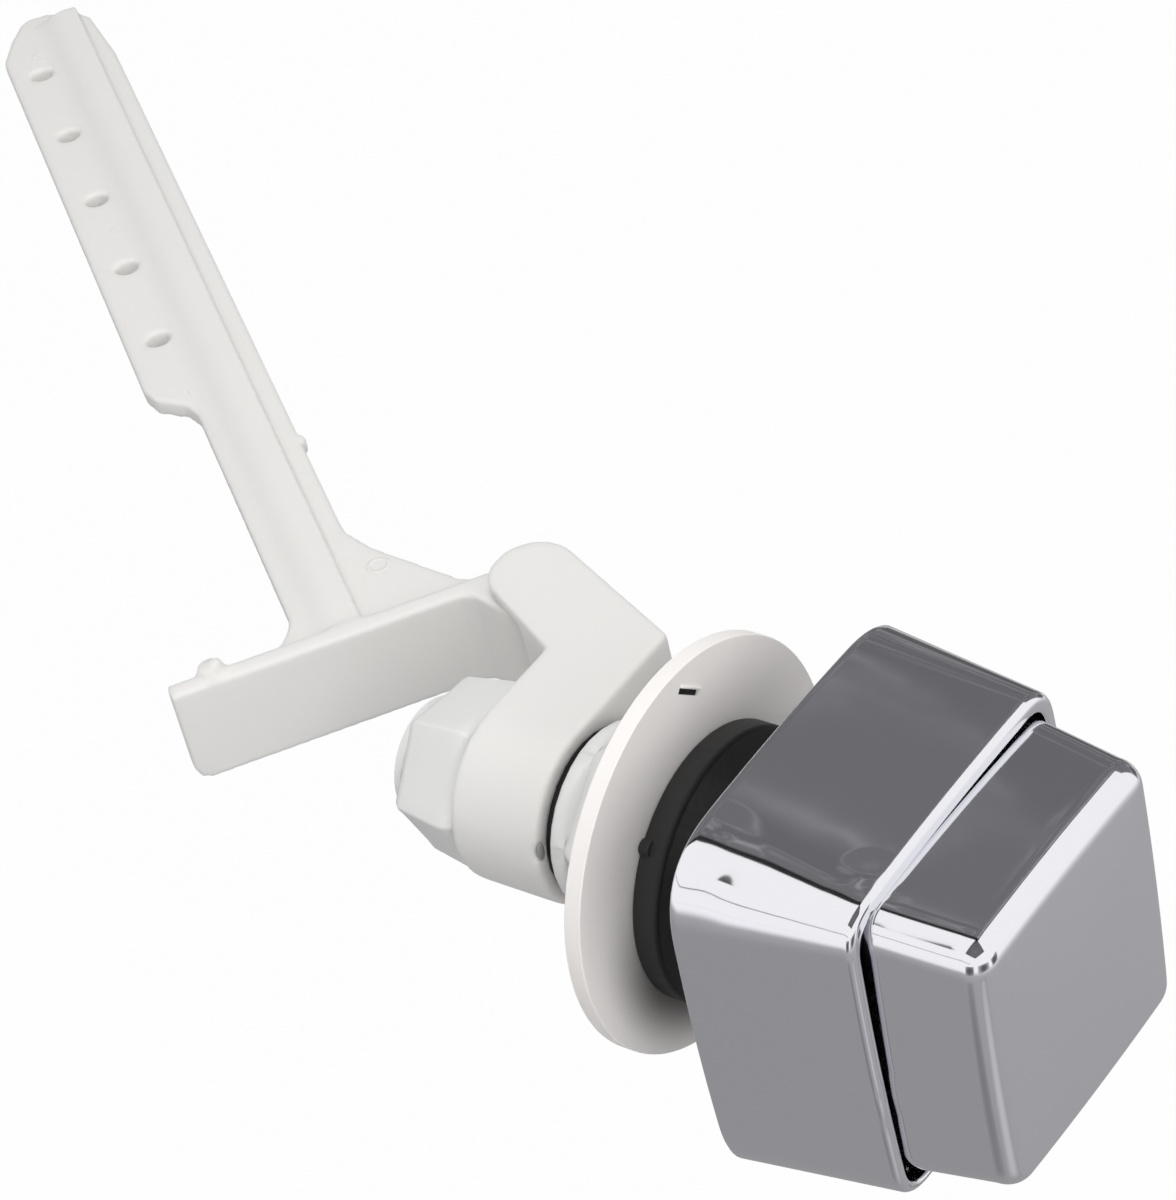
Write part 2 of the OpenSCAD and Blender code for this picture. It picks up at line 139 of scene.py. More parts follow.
def object_place(tree):
    """A point's place in the object's own frame, so a pattern moves with its piece."""
    return add_node(tree, "ShaderNodeTexCoord", {}).outputs["Object"]


print("node helpers ready")

# %% [markdown]
# The studio is pale, as around the real button. The world is a plain even white where the
# camera or a reflection sees it, and dimmer where it only lights the part, so that shadows
# keep some depth while the background stays white.

# %% World
WORLD_FILL = 0.6

world = bpy.data.worlds.new("studio")
bpy.context.scene.world = world
sky = node_tree(world)
path = add_node(sky, "ShaderNodeLightPath", {})
seen = path.outputs["Is Camera Ray"]
for kind in ("Is Glossy Ray", "Is Transmission Ray"):
    seen = maths(sky, "MAXIMUM", seen, path.outputs[kind])
brightness = ranged(sky, seen, (0, 1), (WORLD_FILL, 1.0))
fill = add_node(sky, "ShaderNodeBackground", {"Color": (1, 1, 1, 1), "Strength": brightness})
add_node(sky, "ShaderNodeOutputWorld", {"Surface": fill.outputs[0]})
print("the world lights with", WORLD_FILL, "of the white that it shows")

# %% [markdown]
# The part hangs from its mount, so the floor lies well below it and only takes a soft shade.
# What the camera sees of it is almost all plain white, with a little matt paint mixed in to
# catch the shadow. The flat panel that it is made of serves for the cards later on too.

# %% Floor
FLOOR_Z = -0.11
FLOOR_SIZE = 8
FLOOR_WHITE = 0.975


def flat_panel(name, centre, facing, width, height, material):
    """A flat card with its middle at centre, which takes no part in the model."""
    w, h = width / 2, height / 2
    mesh = bpy.data.meshes.new(name)
    mesh.from_pydata([(-w, -h, 0), (w, -h, 0), (w, h, 0), (-w, h, 0)], [], [(0, 1, 2, 3)])
    mesh.materials.append(material)
    panel = placed(name, mesh)
    panel.rotation_mode = "QUATERNION"
    panel.rotation_quaternion = Vector(facing).to_track_quat("Z", "Y")
    panel.location = centre
    return panel


floor_paint, tree = new_material("floor_paint")
path = add_node(tree, "ShaderNodeLightPath", {})
matt = add_node(tree, "ShaderNodeBsdfDiffuse", {"Color": (0.6, 0.6, 0.6, 1)})
lit = add_node(tree, "ShaderNodeEmission", {"Color": (1, 1, 1, 1), "Strength": 1})
white_share = maths(tree, "MULTIPLY", path.outputs["Is Camera Ray"], FLOOR_WHITE)
show(tree, add_node(tree, "ShaderNodeMixShader",
                    {0: white_share, 1: matt.outputs[0], 2: lit.outputs[0]}))
floor = flat_panel("floor", (0, 0.05, FLOOR_Z), (0, 0, 1), FLOOR_SIZE, FLOOR_SIZE, floor_paint)
print("floor at", FLOOR_Z / MM, "mm")

# %% [markdown]
# Two large lamps model the plastic. One hangs above, and the other stands in front and a
# little to the left, which brightens the washer's face and the wall of the lever.
# Reflections don't see them, because the chrome gets its shapes from cards instead.

# %% Lamps
LAMPS_AIM_AT = Vector((0, 0.03, 0))


def soft_lamp(name, direction, distance, size, power):
    lamp = placed(name, bpy.data.lights.new(name, "AREA"))
    lamp.data.size = size
    lamp.data.energy = power
    towards = Vector(direction).normalized()
    lamp.location = LAMPS_AIM_AT + towards * distance
    lamp.rotation_mode = "QUATERNION"
    lamp.rotation_quaternion = towards.to_track_quat("Z", "Y")
    lamp.visible_camera = False
    lamp.visible_glossy = False
    print(name, "gives", power, "W")


soft_lamp("top_lamp", direction=(-0.16, -0.2, 1), distance=0.8, size=0.4, power=2.65)
soft_lamp("left_lamp", direction=(-0.32, -1.0, 0.4), distance=0.9, size=0.5, power=1.75)

# %% [markdown]
# Chrome has no colour of its own: it shows what stands around it. So cards that only
# reflections can see give the plating its look. They don't light matt surfaces, cast no
# shadow and don't appear in the picture. A card can have one level, levels that change with
# the distance from its middle, or the folds of a cloth. The chrome in the photo is a little
# cool, so the changing levels lean to blue.

# %% Tones for the cards
def fill_ramp(ramp, stops, blue):
    """Sets a colour ramp from places and grey levels, with the blue raised a little."""
    bands = ramp.color_ramp.elements
    while len(bands) < len(stops):
        bands.new(0.5)
    for band, (place, level) in zip(bands, stops):
        band.position = place
        band.color = (level, level, level * blue, 1)


def glow(tree, colour):
    show(tree, add_node(tree, "ShaderNodeEmission", {"Color": colour, "Strength": 1}))


def plain_glow(name, level):
    material, tree = new_material(name)
    glow(tree, (level, level, level, 1))
    return material


def graded_glow(name, stops):
    """A glow whose level follows the distance from the card's middle, in metres."""
    material, tree = new_material(name)
    reach = stops[-1][0]
    away = add_node(tree, "ShaderNodeVectorMath", {0: object_place(tree)}, operation="LENGTH")
    share = maths(tree, "MULTIPLY", away.outputs["Value"], 1 / reach)
    ramp = add_node(tree, "ShaderNodeValToRGB", {"Fac": share})
    fill_ramp(ramp, [(distance / reach, level) for distance, level in stops], blue=1.02)
    glow(tree, ramp.outputs[0])
    return material


def veined_glow(name, low, high, vein, scale):
    """A dark cloth with thin paler folds, which the plating shows as wavy lines."""
    material, tree = new_material(name)
    folds = noise(tree, object_place(tree), scale, detail=1.5, distortion=1.2)
    ramp = add_node(tree, "ShaderNodeValToRGB", {"Fac": folds})
    middle = (low + high) / 2
    fill_ramp(ramp, [(0.2, low), (0.455, middle), (0.486, middle * 1.25), (0.5, vein),
                     (0.512, middle * 1.1), (0.8, high)], blue=1.05)
    glow(tree, ramp.outputs[0])
    return material


dark_cloth = veined_glow("dark_cloth", low=0.14, high=0.165, vein=0.38, scale=9)
black_hem = plain_glow("black_hem", 0.02)
bar_tone = plain_glow("bar_tone", 0.06)
print("tones ready: a dark cloth, a black hem and a bar")

# %% [markdown]
# A table card lies just above the floor. It fades from grey under the part to white far
# away, which gives the soft band at the foot of each white highlight. A dark ceiling card
# fills the top faces, its black hems draw the dark line along their edges, and a card on
# the right carries the same cloth down the side. A thin bar at the window draws the dark
# line in the white band.

# %% Table, ceiling and window
# Distance from the table card's middle in metres, and the level there
TABLE_LEVELS = [(0, 0.31), (0.12, 0.32), (0.2, 0.37), (0.26, 0.395), (0.33, 0.425), (0.4, 0.57),
                (0.52, 0.79), (0.7, 0.95), (1.2, 1.0)]
# Name, left, right, front, rear and height in metres, and cloth of each ceiling strip
CEILING = (("ceiling_card", 0.11, 1.4, -0.06, 1.4, 0.5, dark_cloth),
           ("ceiling_hem_left", 0.05, 0.11, -0.1, 1.4, 0.498, black_hem),
           ("ceiling_hem_front", 0.05, 1.4, -0.11, -0.07, 0.499, black_hem))


def for_reflections(panel):
    panel.visible_camera = False
    panel.visible_diffuse = False
    panel.visible_shadow = False
    return panel


for_reflections(flat_panel("table_card", (-0.1, 0.1, FLOOR_Z + 0.002), (0, 0, 1), 7, 7,
                           graded_glow("table_tone", TABLE_LEVELS)))
for name, x0, x1, y0, y1, z, cloth in CEILING:
    middle = ((x0 + x1) / 2, (y0 + y1) / 2, z)
    for_reflections(flat_panel(name, middle, (0, 0, 1), x1 - x0, y1 - y0, cloth))
for_reflections(flat_panel("right_card", (0.38, 0.22, 0.19), (-0.88, -0.47, 0), 1.3, 0.6,
                           dark_cloth))
for_reflections(flat_panel("window_bar", (-1.0, 0.6, 0.44), (1, -0.4, -0.35), 2.2, 0.03,
                           bar_tone))
print("ceiling strips:", len(CEILING))

# %% [markdown]
# Two long soft patches lie on the table. One is darker and one is paler than the table, and
# they put the streaks into the grey side and front of the button. The dark cards that stand
# around the table and the one overhead are out of the main view's reflections, apart from
# a small corner. They are there so that the plating still reads as metal from other sides.

# %% Runners, standing cards and overhead card
# Distance from a card's middle in metres, and the level there
GREY_RUNNER = [(0, 0.22), (0.016, 0.24), (0.034, 0.315)]
PALE_RUNNER = [(0, 0.56), (0.012, 0.52), (0.034, 0.345)]
RUNNER_STRETCH = 2.2
STANDING_LEVELS = [(0, 0.10), (0.05, 0.13), (0.09, 0.33), (0.16, 0.6)]
OVERHEAD_LEVELS = [(0, 0.17), (0.3, 0.13), (0.36, 0.07), (0.48, 0.05)]
# Bearing in degrees from the front, and width in metres
STANDING = ((-75, 0.17), (-31, 0.25), (12, 0.17), (75, 0.17), (108, 0.13))
STANDING_AWAY, STANDING_HEIGHT, STANDING_Z = 0.38, 0.166, -0.024


def turned_card(name, centre, turn, width, height, levels):
    """A level card that is turned about the vertical, in degrees."""
    card = flat_panel(name, centre, (0, 0, 1), width, height, graded_glow(name + "_tone", levels))
    card.rotation_quaternion = Matrix.Rotation(math.radians(turn), 4, "Z").to_quaternion()
    return for_reflections(card)


for name, x, y, lift, turn, levels in (("grey_runner", -0.128, -0.035, 0.003, 195, GREY_RUNNER),
                                       ("pale_runner", -0.077, -0.112, 0.004, 235, PALE_RUNNER)):
    across = 2 * levels[-1][0]
    runner = turned_card(name, (x, y, FLOOR_Z + lift), turn, across, across, levels)
    runner.scale = (RUNNER_STRETCH, 1, 1)

for number, (bearing, width) in enumerate(STANDING):
    a = math.radians(bearing)
    away = Vector((math.sin(a), -math.cos(a), 0))
    name = "standing_card_" + str(number + 1)
    for_reflections(flat_panel(name, away * STANDING_AWAY + Vector((0, 0, STANDING_Z)), -away,
                               width, STANDING_HEIGHT, graded_glow(name + "_tone", STANDING_LEVELS)))

turned_card("overhead_card", (-0.27, -0.247, 0.552), -14, 0.6, 0.56, OVERHEAD_LEVELS)
print("standing cards:", len(STANDING))

# %% [markdown]
# Bright plating on moulded plastic is never quite flat: the plastic sinks a little as it
# cools, so reflections swim. A slow wave in the normal gives that, with a quicker ripple
# near the corners where the photo shows the reflections curl. A few specks stand for dust
# under the plating. The material stays a plain metal otherwise.

# %% Chrome
# Middle of each spot that ripples and its reach, in mm
SWIM_SPOTS = [((-15.0, -1.5, 16.0), 6.0), ((-11.5, -15.5, 14.5), 4.0), ((-17.0, -16.6, -6.0), 3.5)]
SINK_SCALE, SINK_DEPTH = 75, 0.12 * MM
RIPPLE_SCALE, RIPPLE_DEPTH = 150, 0.35 * MM
SPECK_SCALE, SPECK_SIZE, SPECK_DEPTH = 230, 0.05, 0.06 * MM
SPECK_SHARE = 0.1
HAZE_SCALE, HAZE_ROUGHNESS = 60, (0.05, 0.11)


def bumped(tree, height, depth, normal=None):
    inputs = {"Height": height, "Strength": 1, "Distance": depth}
    if normal is not None:
        inputs["Normal"] = normal
    return add_node(tree, "ShaderNodeBump", inputs).outputs[0]


def distance_from(tree, place, spot):
    """Distance of a place from a spot that is given in mm."""
    return add_node(tree, "ShaderNodeVectorMath", {0: place, 1: Vector(spot) * MM},
                    operation="DISTANCE").outputs["Value"]


def near_swim_spots(tree, place):
    """One in the middle of each spot, and nothing beyond its reach."""
    near = 0.0
    for spot, reach in SWIM_SPOTS:
        away = distance_from(tree, place, spot)
        near = maths(tree, "MAXIMUM", ranged(tree, away, (0, reach * MM), (1, 0), smooth=True), near)
    return near


def dust_specks(tree, place):
    """Small round dots in a tenth of the cells of a cell pattern."""
    cells = add_node(tree, "ShaderNodeTexVoronoi",
                     {"Vector": place, "Scale": SPECK_SCALE, "Randomness": 1})
    dot = ranged(tree, cells.outputs["Distance"], (0, SPECK_SIZE), (1, 0))
    draw = add_node(tree, "ShaderNodeSeparateColor", {"Color": cells.outputs["Color"]})
    keep = maths(tree, "GREATER_THAN", draw.outputs[0], 1 - SPECK_SHARE)
    return maths(tree, "MULTIPLY", dot, keep)


chrome, tree = new_material("bright_chrome")
place = object_place(tree)
skin = bumped(tree, noise(tree, place, SINK_SCALE, detail=1.5, roughness=0.4), SINK_DEPTH)
ripple = noise(tree, place, RIPPLE_SCALE, detail=0.0, distortion=1.0)
ripple = maths(tree, "MULTIPLY", ripple, near_swim_spots(tree, place))
skin = bumped(tree, ripple, RIPPLE_DEPTH, skin)
skin = bumped(tree, dust_specks(tree, place), SPECK_DEPTH, skin)
haze = ranged(tree, noise(tree, place, HAZE_SCALE, detail=3), (0, 1), HAZE_ROUGHNESS)
show(tree, add_node(tree, "ShaderNodeBsdfPrincipled", {
    "Base Color": (0.85, 0.85, 0.885, 1), "Metallic": 1, "Roughness": haze, "Normal": skin}))
print("chrome ripples at", len(SWIM_SPOTS), "spots")

# %% [markdown]
# Two pieces carry painted light of their own. The washer is painted grey around the gasket, most of
# all below, as the shadow that the gasket and housing cast on it, and the gasket's rim is painted
# paler behind its front face, as the sheen that the rim catches while the face lies in shade. Each is
# a function that takes the unshaded colour and gives back the painted one, so it can be put into any
# moulded finish.

# %% Painted shadow on the washer and painted sheen on the gasket
# Tone of the painted shadow on the washer, and of the painted sheen on the gasket's rim
PAINTED_SHADOW_GREY = (0.12, 0.11, 0.10, 1)
PAINTED_SHEEN_GREY = (0.035, 0.034, 0.033, 1)


def mixed(tree, share, first, second):
    return add_node(tree, "ShaderNodeMix", {0: share, 6: first, 7: second},
                    data_type="RGBA").outputs[2]


def axes_of(tree, place):
    return add_node(tree, "ShaderNodeSeparateXYZ", {0: place}).outputs


def painted_gasket_shadow(tree, place, unshaded_tone):
    """Paints the shadow around the gasket: greys a colour there, most of all on the lower side."""
    away = distance_from(tree, place, (0.2, 10.8, -1.8))
    near = ranged(tree, away, (13.0 * MM, 18.6 * MM), (1, 0), smooth=True)
    low = ranged(tree, axes_of(tree, place)["Z"], (6 * MM, -10 * MM), (0.03, 0.95), smooth=True)
    return mixed(tree, maths(tree, "MULTIPLY", near, low), unshaded_tone, PAINTED_SHADOW_GREY)


def painted_rim_sheen(tree, place, unshaded_tone):
    """Paints a sheen on the rim: a paler grey on the rubber behind its front face."""
    rim_sheen_share = ranged(tree, axes_of(tree, place)["Y"], (8.1 * MM, 8.6 * MM), (0, 0.65))
    return mixed(tree, rim_sheen_share, unshaded_tone, PAINTED_SHEEN_GREY)


# The smudge is painted shadow and the dusty rim is painted sheen.
print("marks ready: a smudge and a dusty rim")

# %% [markdown]
# The lever, bracket and nuts are satin plastic. It is a warm off-white with a very fine spark-eroded
# grain and faint cloudy flow marks, so its base colour drifts by a few percent and its roughness is
# broken up. The washer is punched from duller sheet, the rubber is black, and the hidden screws and
# spring are plain steel. A flat black finish also paints the shade in the washer's slot and in the gap
# before the bracket's eye, and a flat grey paints the shade in a dent on the eye.

# %% Plastics, rubber and steel
CLOUD_SCALE = 45
ROUGHNESS_SPREAD = 0.08
STEEL_SCALE, STEEL_ROUGHNESS = 900, (0.22, 0.4)


def moulded(name, colour, drift=0.03, roughness=0.42, grain=(2600, 0.006), shine=0.5, mark=None):
    """A moulded finish. Grain is given as its scale and its depth in mm."""
    material, tree = new_material(name)
    place = object_place(tree)
    dark = tuple(c * (1 - drift) for c in colour) + (1,)
    light = tuple(min(1, c * (1 + drift * 0.5)) for c in colour) + (1,)
    tone = mixed(tree, noise(tree, place, CLOUD_SCALE, detail=4), dark, light)
    # A mark paints light or shade into the tone.
    if mark:
        tone = mark(tree, place, tone)
    pits = noise(tree, place, grain[0], roughness=0.6)
    rough = ranged(tree, pits, (0, 1), (roughness - ROUGHNESS_SPREAD, roughness + ROUGHNESS_SPREAD))
    show(tree, add_node(tree, "ShaderNodeBsdfPrincipled", {
        "Base Color": tone, "Roughness": rough, "Normal": bumped(tree, pits, grain[1] * MM),
        "Specular IOR Level": shine}))
    return material


white_plastic = moulded("white_plastic", (0.83, 0.82, 0.80))
grey_plastic = moulded("grey_plastic", (0.80, 0.80, 0.79), roughness=0.4)
# The washer carries the painted shadow of the gasket.
washer_sheet = moulded("washer_sheet", (0.94, 0.91, 0.885), roughness=0.55, grain=(1800, 0.01),
                       mark=painted_gasket_shadow)
# A flat black that paints shade where little light reaches
painted_shade_black = moulded("painted_shade_black", (0.005, 0.005, 0.006), drift=0.3, roughness=0.5,
                       grain=(1500, 0.02), shine=0.3)
# The gasket's rim carries a painted sheen.
gasket_rubber = moulded("gasket_rubber", (0.004, 0.004, 0.005), drift=0.3, roughness=0.5,
                        grain=(1500, 0.02), shine=0.33, mark=painted_rim_sheen)
# A grey that paints the shade in the dent on the bracket's eye
dent_shade_grey = moulded("dent_shade_grey", (0.36, 0.36, 0.35), drift=0.2, roughness=0.6, grain=(1500, 0.01))

steel, tree = new_material("plain_steel")
worn = ranged(tree, noise(tree, object_place(tree), STEEL_SCALE), (0, 1), STEEL_ROUGHNESS)
show(tree, add_node(tree, "ShaderNodeBsdfPrincipled",
                    {"Base Color": (0.62, 0.62, 0.63, 1), "Metallic": 1, "Roughness": worn}))
print("materials:", len(bpy.data.materials))

# %% [markdown]
# Most solids keep their shape, but moulded edges are never razor sharp. The small metal
# pieces and the plain plastic ones get a bevel. The bracket is wrapped in a fine even net
# instead and smoothed a little, which rounds every edge alike, inside corners too, as a
# real mould does. Only modifiers do this, so the solids stay as they came.

# %% Dress the solids
WELD_REACH = 0.002
SHARP_FROM = 32
# Material and width of the rounded edge in mm
BEVELS = {
    "push_rod": (white_plastic, 0.15), "rod_bush": (white_plastic, 0.1),
    "button_carrier": (white_plastic, 0.15), "threaded_barrel": (grey_plastic, 0.1),
    "flat_washer": (washer_sheet, 0.25), "gasket": (gasket_rubber, 0.2),
}
for screw in ("carrier_screw", "flange_screw_1", "flange_screw_2", "flange_screw_3",
              "flange_screw_4", "pivot_pin"):
    BEVELS[screw] = (steel, 0.08)


def painted(node, material):
    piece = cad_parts[node]
    piece.data.materials.clear()
    piece.data.materials.append(material)
    for face in piece.data.polygons:
        face.use_smooth = True
    weld = piece.modifiers.new("weld", "WELD")
    weld.merge_threshold = WELD_REACH * MM
    return piece


def wrap_in_net(piece, net, passes):
    """Wraps a piece in an even net, given in mm, and relaxes it."""
    wrap = piece.modifiers.new("net", "REMESH")
    wrap.mode = "VOXEL"
    wrap.voxel_size = net * MM
    wrap.use_smooth_shade = True
    relax = piece.modifiers.new("relax", "SMOOTH")
    relax.factor = 0.5
    relax.iterations = passes


for node, (material, width) in BEVELS.items():
    piece = painted(node, material)
    bevel = piece.modifiers.new("edge", "BEVEL")
    bevel.width = width * MM
    bevel.segments = 3
    bevel.limit_method = "ANGLE"
    bevel.angle_limit = math.radians(SHARP_FROM)
    bevel.use_clamp_overlap = True
    flat = piece.modifiers.new("flat", "WEIGHTED_NORMAL")
    flat.keep_sharp = False
wrap_in_net(painted("bracket", white_plastic), net=0.28, passes=30)
print("bevelled", len(BEVELS), "solids and wrapped the bracket")

# %% [markdown]
# The pieces that need more than that are made anew from rings of points, one behind the
# other, which is how a turned or drafted shape is thought of anyway. Each ring of the
# housing and button is a soft square: its sides bow out by a quarter of a millimetre, as
# thin mouldings do, and its corners start gently, because a plain arc would show as a kink
# in the reflections. A ring may also be a circle whose points face the same way.

# %% Soft squares and circles
# How far the middle of the square lies below the barrel's axis
SQUARE_DROP = 1.8
SIDE_STEPS, ARC_STEPS = 6, 16
SIDE_BOW = math.radians(2.5)
# How much longer than a plain arc a corner is, and how much of that it takes from a side
SPREAD, SIDE_LOSS = 1.45, 0.62
SHORTEST_SIDE = 0.02


def between(a, b, t):
    return a + (b - a) * t


def quarter_outline(half, radius):
    """A quarter of a soft square in mm, from the middle of one side to that of the next."""
    side = max(half - radius * (1 + SIDE_LOSS * (SPREAD - 1)), half * SHORTEST_SIDE)
    bend = SPREAD * math.pi / 2 * radius
    steps = [(side / SIDE_STEPS, SIDE_BOW * (i + 0.5) / SIDE_STEPS) for i in range(SIDE_STEPS)]
    for i in range(ARC_STEPS):
        t = (i + 0.5) / ARC_STEPS
        eased = t - math.sin(2 * math.pi * t) / (2 * math.pi) * (SPREAD - 1)
        steps.append((bend / ARC_STEPS, between(SIDE_BOW, math.pi / 2 - SIDE_BOW, eased)))
    steps += [(length, math.pi / 2 - facing) for length, facing in steps[:SIDE_STEPS][::-1]]
    reach = sum(length * math.sin(facing) for length, facing in steps)
    spot, quarter = Vector((half, 0)), []
    for length, facing in steps:
        quarter.append(spot.copy())
        spot += Vector((-math.sin(facing), math.cos(facing))) * length * half / reach
    return quarter


def square_ring(half, radius, y, centre=(0.0, -SQUARE_DROP), turn=0.0):
    """A soft square about a centre, turned by an angle, at the depth y."""
    quarter = quarter_outline(half, radius)
    ring = []
    for side_number in range(4):
        a = side_number * math.pi / 2 - turn
        c, s = math.cos(a), math.sin(a)
        ring += [Vector((q.x * c - q.y * s + centre[0], y, q.x * s + q.y * c + centre[1]))
                 for q in quarter]
    return ring


def circle_ring(radius, y, like, drop=0.0):
    """A circle about the barrel with its points in line with those of another ring."""
    turns = [math.atan2(p.z + drop, p.x) for p in like]
    return [Vector((math.cos(a) * radius, y, math.sin(a) * radius)) for a in turns]


print("a soft square has", len(square_ring(10, 3, 0)), "points")

# %% [markdown]
# A piece that scene.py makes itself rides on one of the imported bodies, so that it moves
# with it. A loft is such a piece made of rings that are joined one to the next. It either
# runs back into its first ring, as the wall of a tube does, or ends in a small cap.

# %% Pieces and lofts
def new_piece(name, points, faces, material, body, smooth=True):
    """A piece of the model from points in mm, which moves with its body."""
    mesh = bpy.data.meshes.new(name)
    mesh.from_pydata([p * MM for p in points], [], faces)
    mesh.materials.append(material)
    mesh.validate()
    mesh.polygons.foreach_set("use_smooth", [smooth] * len(mesh.polygons))
    piece = placed(name, mesh)
    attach(piece, body)
    print(name, "has", len(mesh.vertices), "points")
    return piece


def loft(name, rings, material, body, closed=True):
    """Joins rings of points in mm. Where it isn't closed, a cap ends the last ring."""
    count, pairs = len(rings[0]), len(rings) - (0 if closed else 1)
    points, faces = [p for ring in rings for p in ring], []
    for i in range(pairs):
        a, b = i * count, (i + 1) % len(rings) * count
        faces += [(a + k, b + k, b + (k + 1) % count, a + (k + 1) % count) for k in range(count)]
    if not closed:
        points.append(sum(rings[-1], Vector()) / count)
        last = pairs * count
        faces += [(last + k, len(points) - 1, last + (k + 1) % count) for k in range(count)]
    return new_piece(name, points, faces, material, body)


# %% [markdown]
# The housing is a square tube that narrows to a rolled lip. One closed run of rings makes
# the outside, the lip, the inside, the back wall with its hole for the barrel, and the
# recessed rear edge. The opening sits a hair off the middle, which makes the gap around the
# button uneven, as in the photo.

# %% Housing
REAR_HALF, REAR_R = 19.75, 6.1
LIP_HALF, LIP_R, LIP_Y, LIP_ROLL = 17.35, 3.3, -16.8, 0.9
OPEN_HALF, OPEN_R, OPEN_ROLL = 15.95, 2.4, 0.3
OPENING_AT = (-0.15, -SQUARE_DROP - 0.3)
BACK_FRONT_Y, BACK_REAR_Y, BARREL_HOLE_R = -3.5, -1.0, 6.05


def housing_outside():
    rings = []
    for t in (0.0, 0.012, 0.05, 0.2, 0.4, 0.6, 0.8, 0.93, 1.0):
        half = between(REAR_HALF, LIP_HALF, t) - (0.12 if t == 0 else 0)
        y = between(0, LIP_Y + LIP_ROLL, t)
        rings.append(square_ring(half, between(REAR_R, LIP_R, t), y))
    for i in range(1, 7):
        a = math.radians(15 * i)
        shrink = LIP_ROLL * (1 - math.cos(a))
        y = LIP_Y + LIP_ROLL * (1 - math.sin(a))
        rings.append(square_ring(LIP_HALF - shrink, LIP_R - shrink, y))
    return rings


def housing_inside():
    rings = []
    for i in range(5):
        a = math.radians(22.5 * i)
        half = OPEN_HALF + OPEN_ROLL * (1 - math.sin(a))
        y = LIP_Y + OPEN_ROLL * (1 - math.cos(a))
        rings.append(square_ring(half, OPEN_R, y, centre=OPENING_AT))
    for t in (0.15, 0.5, 0.9, 1.0):
        y = between(LIP_Y + OPEN_ROLL, BACK_FRONT_Y, t)
        rings.append(square_ring(between(OPEN_HALF, 18.0, t), between(OPEN_R, 5.9, t), y,
                                 centre=OPENING_AT))
    return rings


def housing_back():
    front = [square_ring(17.8, 5.8, BACK_FRONT_Y), square_ring(12, 5, BACK_FRONT_Y)]
    hole = [circle_ring(r, y, front[-1], SQUARE_DROP) for r, y in (
        (BARREL_HOLE_R + 0.25, BACK_FRONT_Y), (BARREL_HOLE_R, BACK_FRONT_Y + 0.1),
        (BARREL_HOLE_R, BACK_REAR_Y - 0.1), (BARREL_HOLE_R + 0.15, BACK_REAR_Y))]
    rear = [square_ring(half, radius, y) for half, radius, y in (
        (12, 5, BACK_REAR_Y), (16.9, 5.9, BACK_REAR_Y), (17.1, 5.9, BACK_REAR_Y + 0.15),
        (17.15, 5.9, -0.1), (17.3, 6, 0), (19.2, 6.8, 0))]
    return front + hole + rear


housing = loft("housing_shell", housing_outside() + housing_inside() + housing_back(), chrome,
               "mounting")
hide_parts("housing")

# %% [markdown]
# The button cap is a second drafted square with a softer front. Its face is crowned by less
# than half a millimetre, which gives the smooth grey gradient in the photo, and it sits
# slightly turned in the housing, as the photo shows.

# %% Button cap
FACE_Y, SKIRT_Y = -27.8, -12.6
LIP_BUTTON_HALF, FACE_HALF = 15.4, 14.15
CORNER_R, EDGE_R, CAP_WALL, FACE_CROWN = 2.6, 2.6, 1.6, 0.45
BUTTON_TURN = math.radians(1.6)
CAP_DRAFT = (LIP_BUTTON_HALF - FACE_HALF) / (LIP_Y - FACE_Y)
RIM_Y = FACE_Y + FACE_CROWN + EDGE_R


def cap_half(y):
    return FACE_HALF + CAP_DRAFT * (y - FACE_Y)


def cap_ring(half, radius, y):
    return square_ring(half, radius, y, turn=BUTTON_TURN)


def cap_sides():
    rings = [cap_ring(cap_half(y) - CAP_WALL, CORNER_R - CAP_WALL, y)
             for y in (-24.5, -20, -16, SKIRT_Y + 0.1)]
    rings.append(cap_ring(cap_half(SKIRT_Y) - CAP_WALL + 0.1, CORNER_R - CAP_WALL, SKIRT_Y))
    rings.append(cap_ring(cap_half(SKIRT_Y) - 0.15, CORNER_R, SKIRT_Y))
    for t in (0.01, 0.15, 0.35, 0.55, 0.75, 0.92, 1.0):
        y = between(SKIRT_Y, RIM_Y, t)
        rings.append(cap_ring(cap_half(y), CORNER_R, y))
    return rings


def cap_front():
    """The rounded edge, which runs smoothly into the crown of the face."""
    rings = []
    crown_tilt = math.atan(2 * FACE_CROWN / FACE_HALF)
    for i in range(1, 13):
        a = (math.pi / 2 - crown_tilt) * i / 12
        shrink = EDGE_R * (1 - math.cos(a))
        edge_half, edge_y = cap_half(RIM_Y) - shrink, RIM_Y - EDGE_R * math.sin(a)
        rings.append(cap_ring(edge_half, max(CORNER_R - shrink, 0.7), edge_y))
    for t in (0.92, 0.8, 0.65, 0.5, 0.35, 0.2, 0.08):
        half = edge_half * t
        radius = half * (0.1 + 0.5 * (1 - t))
        rings.append(cap_ring(half, radius, between(FACE_Y, edge_y, t * t)))
    return rings


cap = loft("cap_shell", cap_sides() + cap_front(), chrome, "button", closed=False)
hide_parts("button_cap")

# %% [markdown]
# The lever is one moulding: a thin plate with a rib, a keel below it, a cross wall and a
# knuckle. Here it is laid out from overlapping slabs in its own frame, with the first axis
# along the arm. A fine net then wraps them all as one skin, as clay would, and smoothing
# turns each meeting of slabs into the soft fillet that the mould has.

# %% Slabs and clay
def disc(centre, radius, steps=20):
    turns = [2 * math.pi * i / steps for i in range(steps)]
    return [(centre[0] + radius * math.cos(a), centre[1] + radius * math.sin(a)) for a in turns]


def flat_on(a, b, h):
    return Vector((a, b, h))


def on_edge(a, b, h):
    return Vector((h, a, b))


def on_side(a, b, h):
    return Vector((a, h, b))


